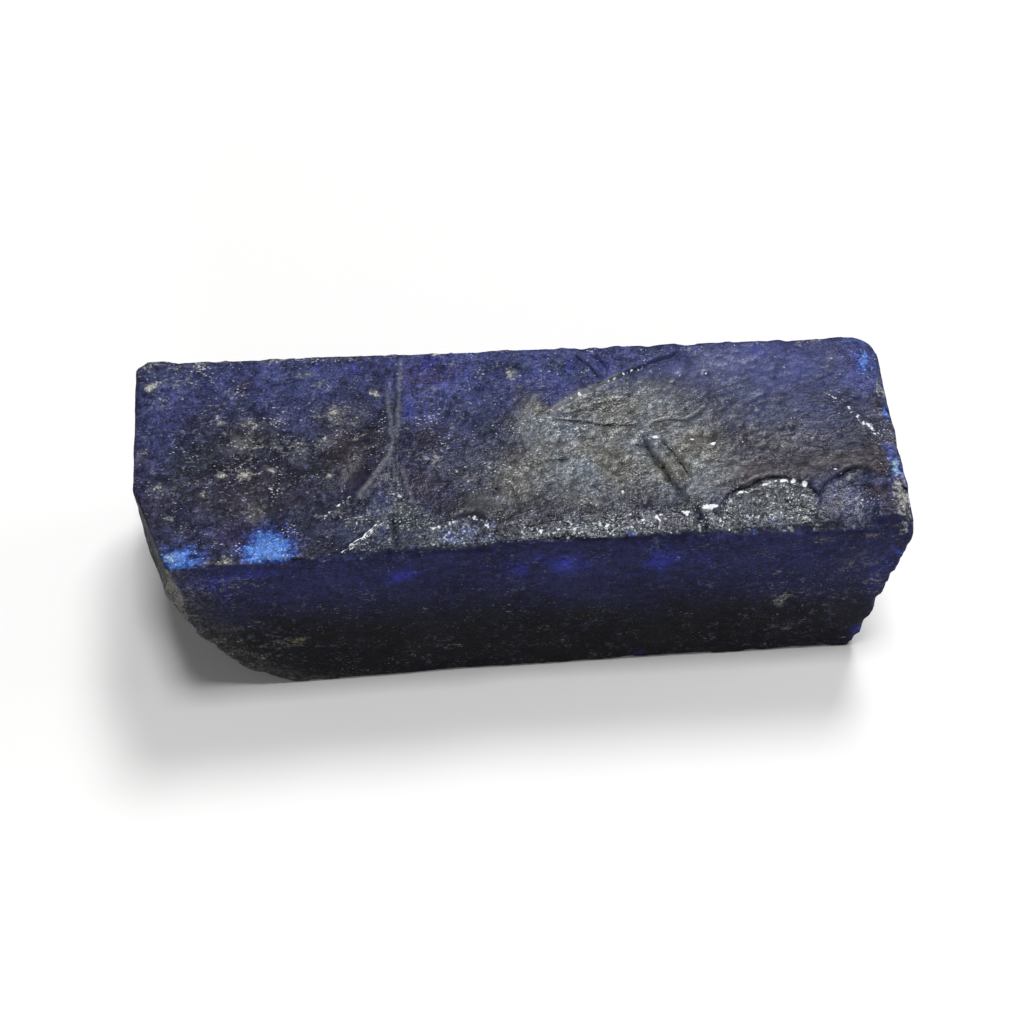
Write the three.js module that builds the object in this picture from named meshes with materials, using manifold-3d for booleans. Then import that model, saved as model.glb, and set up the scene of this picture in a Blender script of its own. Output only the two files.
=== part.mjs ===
// A rough sapphire: one natural stone, sawn to a four-sided bar, with a broken front left corner,
// a sloping right end, chipped edges and flake scars along the front edge of its top face.
//
// Millimetres, +Z up. The origin is under the middle of the bar, on the flat underside that it
// rests on. +X runs along the bar and -Y is its front face.

import * as THREE from "three";
import { mergeVertices } from "three/addons/utils/BufferGeometryUtils.js";
import Module from "manifold-3d";

const wasm = await Module();
wasm.setup();

// Driving dimensions of the bar
const LENGTH = 54.4;
const WIDTH = 18.8; // at the left end, where the bar is widest
const TAPER = 1.7; // how much narrower the bar is at its right end
const HEIGHT = 15.8;
const BACK_CORNER_RADIUS = 2.4; // worn corner between the back face and the right end

const LEFT = -LENGTH / 2;
const RIGHT = LENGTH / 2;
const FRONT = -WIDTH / 2;
const BACK = WIDTH / 2;
const BACK_RIGHT = BACK - TAPER;

const FRONT_HOLLOW = 0.3; // how far the middle of the front face lies behind its ends

// The right end leans in towards the underside
const END_LEAN = 2.0;
const END_LEAN_STARTS = 13.0; // height where the lean begins
const END_FOOT = 0.9; // small break at the foot of the right end
const END_FOOT_HEIGHT = 1.7;

// Flat facets of the broken front left corner: a point on each and the way that it faces
const BREAK_FACETS = [
  { at: [-24.75, FRONT, HEIGHT], facing: [-5, -1.72, -0.35] },
  { at: [-24.1, FRONT, 13.5], facing: [-5, -4.4, -1.2] },
  { at: [-22.1, FRONT, 6.0], facing: [-5, -0.9, -2.9] },
  { at: [-17.3, FRONT, 0], facing: [-3, -0.8, -3.9] },
];

// A thin spall gone from the upper right of the front face. It starts with a step and fades out.
const SPALL_FROM = -2.1;
const SPALL_DEPTH = 0.75; // at its left end, on the top edge
const SPALL_FADE = THREE.MathUtils.degToRad(1.2); // how fast it fades towards the right
const SPALL_LEAN = THREE.MathUtils.degToRad(8); // how far its face leans back from upright

// Flake scars that bite into the top face from its front edge: the rim of each in the plan, from
// left to right, and how deep its floor lies below the top face
const FLAKE_SCARS = [
  {
    rim: [[-14.6, FRONT], [-13.6, -7.6], [-11.7, -4.4], [-8.6, -1.6], [-7.8, -4.0], [-7.0, FRONT]],
    backDepth: 0.03,
    frontDepth: 0.45,
  },
  {
    rim: [[-7.4, FRONT], [-7.1, -7.6], [-4.6, -6.5], [-3.5, -6.2], [-2.6, -7.1], [-1.7, FRONT]],
    backDepth: 0.2,
    frontDepth: 0.5,
  },
  {
    rim: [
      [-1.9, FRONT], [-1.4, -7.2], [0.4, -7.6], [1.9, -7.2], [3.8, -7.7], [5.4, -7.1], [6.8, -7.6],
      [8.5, -7.2], [10.6, -7.1], [11.9, -7.5], [13.0, -6.7], [14.2, FRONT],
    ],
    backDepth: 0.12,
    frontDepth: 0.4,
  },
  {
    rim: [
      [13.6, FRONT], [13.9, -6.8], [14.8, -5.8], [15.9, -5.4], [16.9, -4.9], [18.4, -4.75],
      [20.2, -5.4], [20.7, -6.4], [20.6, FRONT],
    ],
    backDepth: 0.35,
    frontDepth: 0.65,
  },
  {
    rim: [
      [20.3, FRONT], [20.7, -6.8], [21.4, -5.7], [22.3, -5.15], [23.2, -4.6], [24.2, -4.45],
      [25.5, -4.9], [26.3, -6.0], [28.0, -7.0], [28.0, FRONT],
    ],
    backDepth: 0.3,
    frontDepth: 0.7,
  },
];

// Single large chips: a ball of this radius takes a bite of this depth at a point on the surface
const LARGE_CHIPS = [
  { at: [RIGHT, 1.5, HEIGHT], outward: [0.6, 0.1, 1], radius: 9.0, bite: 0.45 },
  { at: [RIGHT, FRONT, HEIGHT - 0.5], outward: [1, -1, 0.5], radius: 3.2, bite: 0.6 },
  { at: [-17.6, FRONT, HEIGHT], outward: [0, -1, 1], radius: 3.4, bite: 0.5 },
  { at: [LEFT, BACK, HEIGHT], outward: [-1, 1, 1], radius: 2.2, bite: 0.75 },
  { at: [LEFT, BACK, 3], outward: [-1, 1, -0.3], radius: 8.0, bite: 1.3 },
  { at: [6, BACK - 0.9, 0], outward: [0, 1, -1], radius: 9.0, bite: 0.9 },
  { at: [RIGHT - 2, BACK_RIGHT, 0], outward: [1, 1, -1], radius: 6.0, bite: 1.6 },
];

// Small chips along every edge
const CHIP_SPACING = 2.1; // average distance between chips along an edge
const CHIP_RADIUS = { least: 0.7, most: 1.9 };
const CHIP_BITE = { least: 0.07, most: 0.26 };
const SEED = 20;

const SAPPHIRE = new THREE.MeshStandardMaterial({
  name: "sapphire",
  color: 0x262a52,
  roughness: 0.5,
  metalness: 0,
});

// A closed geometry as a solid that can be cut and joined.
function solidOf(geometry) {
  const bare = geometry.clone();
  bare.deleteAttribute("normal");
  bare.deleteAttribute("uv");
  const merged = mergeVertices(bare);
  return new wasm.Manifold(
    new wasm.Mesh({
      numProp: 3,
      vertProperties: merged.attributes.position.array,
      triVerts: new Uint32Array(merged.index.array),
    }),
  );
}

// A solid as a geometry with flat faces.
function geometryOf(solid) {
  const { vertProperties, triVerts } = solid.getMesh();
  const geometry = new THREE.BufferGeometry()
    .setAttribute("position", new THREE.BufferAttribute(vertProperties, 3))
    .setIndex(new THREE.BufferAttribute(triVerts, 1))
    .toNonIndexed();
  geometry.computeVertexNormals();
  return geometry;
}

// A prism that stands on an outline in the plan, from z = 0 up.
function standingPrism(outline, height) {
  return new THREE.ExtrudeGeometry(outline, { depth: height, bevelEnabled: false });
}

// A prism of an outline seen from the front, with x and z as its axes, running back from y = 0.
function frontPrism(outline, depth) {
  return standingPrism(outline, depth)
    .rotateX(Math.PI / 2)
    .translate(0, depth, 0);
}

// Repeatable numbers from 0 to 1.
function repeatable(seed) {
  let state = seed;
  return () => {
    state = (Math.imul(state, 1664525) + 1013904223) >>> 0;
    return state / 2 ** 32;
  };
}

// The sawn bar seen from above: square at the left, narrower and worn round at the back right.
function planOutline() {
  const outline = new THREE.Shape();
  outline.moveTo(LEFT, FRONT);
  outline.quadraticCurveTo(0, FRONT + 2 * FRONT_HOLLOW, RIGHT, FRONT);
  outline.lineTo(RIGHT, BACK_RIGHT - BACK_CORNER_RADIUS);
  outline.quadraticCurveTo(RIGHT, BACK_RIGHT, RIGHT - BACK_CORNER_RADIUS, BACK_RIGHT);
  outline.lineTo(LEFT, BACK);
  return outline;
}

// The bar seen from the front: the right end leans in and has a broken foot.
function frontOutline() {
  const outline = new THREE.Shape();
  outline.moveTo(LEFT, 0);
  outline.lineTo(RIGHT - END_LEAN - END_FOOT, 0);
  outline.lineTo(RIGHT - END_LEAN, END_FOOT_HEIGHT);
  outline.lineTo(RIGHT, END_LEAN_STARTS);
  outline.lineTo(RIGHT, HEIGHT);
  outline.lineTo(LEFT, HEIGHT);
  return outline;
}

function sawnBar() {
  const plan = standingPrism(planOutline(), HEIGHT);
  const front = frontPrism(frontOutline(), WIDTH).translate(0, FRONT, 0);
  return solidOf(plan).intersect(solidOf(front));
}

// Everything on the outer side of one flat facet of the break.
function beyondFacet({ at, facing }) {
  const size = 2 * LENGTH;
  const outward = new THREE.Vector3(...facing).normalize();
  const turn = new THREE.Quaternion().setFromUnitVectors(new THREE.Vector3(0, 0, 1), outward);
  const block = new THREE.BoxGeometry(size, size, size).translate(0, 0, size / 2);
  return solidOf(block.applyQuaternion(turn).translate(...at));
}

// The spall: a slab in front of the face that it left, which leans back and fades to the right.
function frontSpall() {
  const thickness = 3;
  const slab = new THREE.BoxGeometry(LENGTH, thickness, HEIGHT)
    .translate(LENGTH / 2, -thickness / 2, 0)
    .rotateX(-SPALL_LEAN)
    .rotateZ(-SPALL_FADE);
  return solidOf(slab.translate(SPALL_FROM, FRONT + SPALL_DEPTH, HEIGHT));
}

// One flake scar: a prism over its rim, tilted so that it cuts deeper towards the front.
function flakeScar({ rim, backDepth, frontDepth }) {
  const inFront = 1;
  const above = 2;
  const back = Math.max(...rim.map(([, y]) => y));
  const outline = new THREE.Shape();
  outline.moveTo(rim[0][0], FRONT - inFront - back);
  rim.forEach(([x, y]) => outline.lineTo(x, y - back));
  outline.lineTo(rim.at(-1)[0], FRONT - inFront - back);
  const slope = Math.atan2(frontDepth - backDepth, back - FRONT);
  return solidOf(
    standingPrism(outline, above)
      .rotateX(slope)
      .translate(0, back, HEIGHT - backDepth),
  );
}

// A faceted ball that bites into the stone at a point, from outside.
function chip({ at, outward, radius, bite }) {
  const detail = radius > CHIP_RADIUS.most ? 4 : 2;
  const centre = new THREE.Vector3(...outward)
    .setLength(radius - bite)
    .add(new THREE.Vector3(...at));
  return solidOf(new THREE.IcosahedronGeometry(radius, detail).translate(...centre));
}

// Where the hollow front face lies, at a place along the bar.
function frontAt(x) {
  return FRONT + FRONT_HOLLOW * (1 - (x / RIGHT) ** 2);
}

// The bar's edges, each with the direction that points out of the stone there.
function barEdges() {
  const [{ at: [breakTop], facing }] = BREAK_FACETS;
  const breakBack = FRONT + ((breakTop - LEFT) * facing[0]) / facing[1];
  const [breakFoot] = BREAK_FACETS.at(-1).at;
  const foot = RIGHT - END_LEAN - END_FOOT;
  const rounded = BACK_CORNER_RADIUS;
  const spallEdge = [SPALL_FROM, FRONT + SPALL_DEPTH, HEIGHT - 0.5];
  const middle = [0, frontAt(0), 0];
  return [
    { start: [breakTop, frontAt(breakTop), HEIGHT], end: [-13, frontAt(-13), HEIGHT], outward: [0, -1, 1] },
    { start: spallEdge, end: [RIGHT, FRONT + 0.2, HEIGHT - 0.7], outward: [0, -1, 1] },
    { start: [LEFT, BACK, HEIGHT], end: [RIGHT - rounded, BACK_RIGHT, HEIGHT], outward: [0, 1, 1] },
    { start: [LEFT, breakBack, HEIGHT], end: [LEFT, BACK, HEIGHT], outward: [-1, 0, 1] },
    { start: [RIGHT, FRONT, HEIGHT], end: [RIGHT, BACK_RIGHT - rounded, HEIGHT], outward: [1, 0, 1] },
    { start: [breakFoot, frontAt(breakFoot), 0], end: middle, outward: [0, -1, -1] },
    { start: middle, end: [foot, frontAt(foot), 0], outward: [0, -1, -1] },
    { start: [LEFT, BACK, 0], end: [foot - rounded, BACK_RIGHT, 0], outward: [0, 1, -1] },
    { start: [foot, FRONT, 0], end: [foot, BACK_RIGHT - rounded, 0], outward: [1, 0, -1] },
    { start: [LEFT, BACK, 0], end: [LEFT, BACK, HEIGHT], outward: [-1, 1, 0] },
    { start: [foot, FRONT, 0], end: [RIGHT, FRONT, END_LEAN_STARTS], outward: [1, -1, 0] },
  ];
}

function smallChips() {
  const random = repeatable(SEED);
  const between = ({ least, most }) => least + (most - least) * random() ** 2;
  return barEdges().flatMap(({ start, end, outward }) => {
    const edge = new THREE.Line3(new THREE.Vector3(...start), new THREE.Vector3(...end));
    const count = Math.round(edge.distance() / CHIP_SPACING);
    return Array.from({ length: count }, (_, i) => {
      const at = edge.at((i + random()) / count, new THREE.Vector3());
      return chip({ at, outward, radius: between(CHIP_RADIUS), bite: between(CHIP_BITE) });
    });
  });
}

function roughStone() {
  const cuts = [
    ...BREAK_FACETS.map(beyondFacet),
    frontSpall(),
    ...FLAKE_SCARS.map(flakeScar),
    ...LARGE_CHIPS.map(chip),
    ...smallChips(),
  ];
  return cuts.reduce((rest, cut) => rest.subtract(cut), sawnBar());
}

const stone = new THREE.Mesh(geometryOf(roughStone()), SAPPHIRE);
stone.name = "sapphire";

const roughSapphire = new THREE.Group();
roughSapphire.add(stone);

export default roughSapphire;
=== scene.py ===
import itertools
import math
from collections import namedtuple

import bpy
import numpy as np
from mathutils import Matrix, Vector


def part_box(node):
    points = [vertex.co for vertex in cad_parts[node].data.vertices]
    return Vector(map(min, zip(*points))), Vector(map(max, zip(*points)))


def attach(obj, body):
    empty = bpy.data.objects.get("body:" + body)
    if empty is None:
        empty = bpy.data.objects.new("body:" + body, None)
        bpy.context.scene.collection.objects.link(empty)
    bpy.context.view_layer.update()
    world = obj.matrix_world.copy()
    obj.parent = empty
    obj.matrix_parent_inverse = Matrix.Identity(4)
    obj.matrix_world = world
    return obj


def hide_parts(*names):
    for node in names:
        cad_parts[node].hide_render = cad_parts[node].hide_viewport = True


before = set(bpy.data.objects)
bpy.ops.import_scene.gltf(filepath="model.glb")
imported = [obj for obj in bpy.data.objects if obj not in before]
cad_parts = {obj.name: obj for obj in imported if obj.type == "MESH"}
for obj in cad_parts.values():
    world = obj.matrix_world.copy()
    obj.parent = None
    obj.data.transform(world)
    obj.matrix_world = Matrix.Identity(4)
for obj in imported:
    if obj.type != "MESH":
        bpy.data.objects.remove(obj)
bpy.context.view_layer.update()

# The stone's own box, in millimetres: x runs along it, y to the back and z up
MM = 0.001
LOW, HIGH = (np.array(corner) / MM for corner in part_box("sapphire"))
FRONT = LOW[1]
RIGHT, BACK, TOP = HIGH

# The top face proper, clear of its worn left and back edges
INNER_LEFT = -24.5
INNER_BACK = BACK - 1.0

# How fine the mesh is
VOXEL = 0.135
TRIANGLES = 192_000
ROUNDING = 12
SEED = 7

# The camera stands where the photograph was taken from
VIEW_ANGLE = math.radians(27)
VIEW_AZIMUTH = math.radians(-4.676)
VIEW_ELEVATION = math.radians(54)
VIEW_DISTANCE = 168.0
VIEW_TARGET = (0.15, 5.1, 0.0)

# Light: a dim room and soft lamps, each with its direction, its size seen from the stone and its power.
# Together they cast the shadow that the photograph shows
ROOM_COLOUR = (1.0, 1.0, 1.01, 1.0)
ROOM_STRENGTH = 0.115
Lamp = namedtuple("Lamp", "azimuth elevation width height power")
LAMPS = {
    "lamp at the back": Lamp(60, 61, width=14, height=16, power=12.6),
    "lamp above": Lamp(0, 88, width=12, height=12, power=11.4),
    "low lamp at the right": Lamp(5, 11, width=24, height=20, power=7.0),
    "low lamp in front": Lamp(-80, 16, width=33, height=12, power=5.0),
}
LAMP_DISTANCE = 1500.0
FLOOR_SIDE = 8000.0
FLOOR_COLOUR = (0.86, 0.855, 0.85, 1.0)


def srgb(red, green, blue):
    """A colour given as screen values from 0 to 255, as the linear values that the shader takes."""
    parts = [value / 255 for value in (red, green, blue)]
    linear = [p / 12.92 if p <= 0.04045 else ((p + 0.055) / 1.055) ** 2.4 for p in parts]
    return (*linear, 1.0)


# Colours of the stone
WORN_DEEP = srgb(30, 31, 46)
WORN_OLIVE = srgb(40, 40, 43)
WORN_VIOLET = srgb(56, 62, 108)
WORN_TEAL = srgb(33, 46, 62)
WORN_PURPLE = srgb(55, 44, 80)
ROYAL = srgb(45, 51, 136)
BROWN = srgb(49, 42, 50)
# Painted sheen: the grey of the lamps' soft reflection on the worn top, warm and cool
PAINTED_SHEEN_WARM = srgb(95, 93, 84)
PAINTED_SHEEN_COOL = srgb(84, 92, 103)
SIDE_BLACK = srgb(20, 20, 21)
# The navy of the sides' upper part is partly painted glow of light passing through the stone
SIDE_NAVY = srgb(35, 37, 71)
SIDE_FLECK = srgb(84, 84, 83)
BROKEN_DARK = srgb(38, 39, 42)
BROKEN_PALE = srgb(86, 86, 83)
BLUE_GREY = srgb(88, 93, 124)
GREY = srgb(120, 121, 122)
BEIGE = srgb(108, 107, 101)
GRAIN_SLATE = srgb(42, 48, 55)
GRAIN_NAVY = srgb(29, 34, 58)
GRAIN_GREY = srgb(104, 112, 118)
# Bright blue patches: painted glow of light shining through thin edges, over the stone's own blue
COBALT = srgb(33, 57, 134)
AZURE = srgb(76, 116, 186)
ICE = srgb(128, 155, 170)
CREAM = srgb(196, 195, 188)
CRUST_SHADE = srgb(72, 71, 68)
OCHRE = srgb(84, 75, 44)
# Painted glints: white spots that stand in for the lamps' highlights on tiny facets
PAINTED_GLINT_WHITE = srgb(222, 226, 230)
# Painted highlight on the lit sides of ridges, curls and the step rim
PAINTED_RIDGE_HIGHLIGHT = srgb(106, 109, 116)
# Black for painted shade in cracks, grooves, pits, creases, beside glints and between grains, and for the
# darker band along the front's top edge
LINE_BLACK = srgb(12, 12, 18)
UNCHANGED = (1.0, 1.0, 1.0, 1.0)

# Gloss of the stone: little of its own, and a clear coat where it is worn, hazy, broken or waxy
GLOSS = 0.06
COAT = {"worn": 0.07, "haze": 0.33, "grain": 0.35, "wax": 0.03}
COAT_ROUGHNESS = 0.24
COAT_IOR = 1.65
# Depth of the finest unevenness
BUMP_DEPTH = 0.075

# Lines on the top face: their points x, y, the half width and height of their relief, and the light
# painted along them (highlights on ridges, shade in cracks, grooves and rims, and glints) with its own
# half width and strength
Line = namedtuple("Line", "points half_width height stain stain_width strength", defaults=("", 0.1, 1.0))
STEP_RIM = [(2.4, 2.4), (3.5, 3.1), (5.0, 3.95), (6.6, 4.7), (8.6, 5.6), (10.8, 6.5), (13.2, 7.4)]
LINES = {
    "ridge, right branch": Line(
        [(-7.8, 8.6), (-7.95, 6.4), (-8.1, 4.2), (-8.3, 2.2), (-8.65, 0.2)],
        0.18, 0.06, "pale", 0.14, 0.55),
    "ridge, left branch": Line(
        [(-8.95, 5.8), (-8.9, 4.6), (-8.85, 3.6), (-8.85, 1.6), (-8.75, 0.2)],
        0.2, 0.05, "pale", 0.16, 0.5),
    "gap in the ridge": Line([(-8.4, 7.2), (-8.45, 4), (-8.55, 1.6)], 0.18, -0.06, "dark", 0.14, 0.5),
    "ridge, bend": Line(
        [(-8.65, 1), (-9, -0.5), (-9.8, -1.7), (-10.5, -2.9), (-11.7, -4.5)],
        0.38, 0.15, "pale", 0.2, 0.8),
    "hollow by the bend": Line([(-9.9, -0.1), (-11.2, -1.9), (-13.1, -4.4)], 1.1, -0.2),
    "left hollow": Line([(-16, -1.4), (-14, -0.1), (-11, 2.3), (-9.5, 3.9)], 0.85, -0.15),
    "left sparkle streak": Line(
        [(-17.4, -1), (-15.2, 0.3), (-12.8, 1.8)], 0.35, 0.06, "painted_glint", 0.28, 0.42),
    "wedge, wide side": Line(
        [(8.75, -0.1), (9.7, -2.3), (10.5, -4.1), (11.3, -6.2)], 0.21, -0.17, "dark", 0.2, 0.7),
    "wedge, thin side": Line([(10.2, -0.3), (11.2, -2.3), (12.1, -4.4)], 0.12, -0.09, "dark", 0.09, 0.9),
    "wedge, middle": Line([(9.5, -0.4), (10.5, -2.3), (11.3, -4.2)], 0.25, 0.04, "pale", 0.12, 0.35),
    "crack": Line(
        [(2.6, 1.5), (3.2, 1.6), (4.4, 1.5), (5.7, 1.15), (6.9, 0.9), (9.5, 0.8)],
        0.13, -0.07, "dark", 0.1, 0.85),
    "crack, branch": Line([(8.1, 2.8), (8.7, 1.2), (9.3, 0.5)], 0.16, -0.05, "dark", 0.12, 0.4),
    "crack, upper": Line([(3.4, 2.1), (5, 2.6), (7.4, 3.2), (8.4, 3.3)], 0.16, -0.05, "dark", 0.1, 0.45),
    "arc": Line(
        [(9.5, 0.8), (11.2, 1.05), (12.3, 0.9), (13.4, 1.4), (14.1, 2.1)],
        0.13, -0.07, "dark", 0.1, 0.75),
    "back groove, left": Line([(4.9, 7.8), (5.8, 6.5), (6.6, 5.2)], 0.22, -0.11, "dark", 0.15, 0.75),
    "back groove, right": Line([(6.2, 7.7), (6.8, 6.8), (7.3, 5.9)], 0.22, -0.11, "dark", 0.15, 0.75),
    "front groove": Line([(12, -6.6), (12.2, -7.6), (12.5, -9)], 0.24, -0.16, "dark", 0.24, 0.7),
    "triangle groove": Line([(-9.1, -5.4), (-9.05, -7.2), (-9, -8.9)], 0.22, -0.12, "dark", 0.2, 0.6),
    "triangle line, left": Line([(-8.75, -0.9), (-8.8, -1.9), (-8.8, -3)], 0.18, 0.07, "pale", 0.14, 0.5),
    "triangle line, right": Line(
        [(-8.3, -1.3), (-7.9, -3.4), (-7.5, -5.4)], 0.18, 0.07, "pale", 0.14, 0.5),
    "step curl, outer": Line(
        [(2.3, 4.4), (1.5, 3.5), (1, 2.3), (0.6, 1), (0.9, -0.4), (1.3, -1.8)],
        0.26, 0.09, "pale", 0.22, 0.55),
    "step curl, inner": Line([(3.1, 1.7), (2.2, 1), (1.8, 0), (2, -1.2)], 0.22, 0.08, "pale", 0.18, 0.45),
    "step rim, dark part": Line(STEP_RIM[3:], 0.16, -0.1, "dark", 0.16, 0.6),
    "step rim, pale part": Line(STEP_RIM[:5], 0.18, 0.08, "pale", 0.22, 1),
    "step rim, glints": Line(STEP_RIM[1:6], 0.14, 0, "painted_glint", 0.14, 0.5),
    "left scar rim": Line(
        [(-7.2, -7.6), (-5.6, -7.1), (-4.6, -6.7), (-3.5, -6.4), (-2.7, -7.3), (-2.2, -8.2)],
        0.2, 0.03, "painted_glint", 0.26, 0.62),
    "left scar shadow": Line(
        [(-5.2, -6.6), (-4.4, -6.35), (-3.4, -6.05), (-2.4, -6.9)], 0.18, -0.08, "dark", 0.16, 0.55),
    "front band glints": Line(
        [(-1.6, -7.9), (1.9, -8.1), (5.4, -7.9), (8.5, -7.6), (11.4, -7.3)],
        0.3, 0.02, "painted_glint", 0.8, 0.48),
    "front edge glints": Line(
        [(-7, -8.9), (-1, -8.9), (6, -8.9), (13, -8.8)], 0.2, 0, "painted_glint", 0.35, 0.42),
    "middle scar rim": Line(
        [(14.9, -6), (15.9, -5.6), (17, -5.2), (18.4, -5), (20, -5.5)], 0.15, 0.03, "painted_glint", 0.15, 0.6),
    "middle scar shadow": Line(
        [(13.8, -6.6), (14.9, -5.65), (15.9, -5.25), (16.9, -4.8), (17.8, -4.7), (18.6, -4.7)],
        0.16, -0.06, "dark", 0.13, 0.75),
    "right scar shadow": Line(
        [(20.6, -6.8), (21.4, -5.6), (22.3, -5.05), (23.2, -4.5), (24, -4.35), (24.9, -4.5)],
        0.16, -0.06, "dark", 0.13, 0.75),
    "end stripe, thin": Line([(22.5, 2.8), (23.2, 2.1), (23.8, 1.7)], 0.15, 0.05, "painted_glint", 0.14, 0.6),
    "end stripe, wide": Line(
        [(24, 1.4), (24.8, -0.2), (25.5, -0.9), (26.1, -2.1)], 0.32, 0.12, "painted_glint", 0.36, 0.58),
    "back sparkle line": Line([(19, 7.3), (19.7, 6), (20.4, 4.4)], 0.2, 0.04, "painted_glint", 0.16, 0.45),
    "white streak, upper": Line(
        [(-14.4, -6.2), (-13, -4.9), (-11.7, -3.7)], 0.16, 0.08, "painted_glint", 0.18, 0.6),
    "white streak, middle": Line(
        [(-13.1, -9.1), (-11.5, -7.7), (-9.8, -6.3)], 0.1, 0.06, "painted_glint", 0.075, 0.8),
    "white streak, lower": Line(
        [(-12.8, -9.2), (-11.3, -7.95), (-10.2, -7)], 0.1, 0.06, "painted_glint", 0.06, 0.7),
    "dark dash": Line([(1.7, -1.9), (2.6, -2), (3.8, -2)], 0.1, -0.05, "dark", 0.08, 0.6),
}
STEP_DROP = 0.22
STEP_FADE = 6.0

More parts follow.
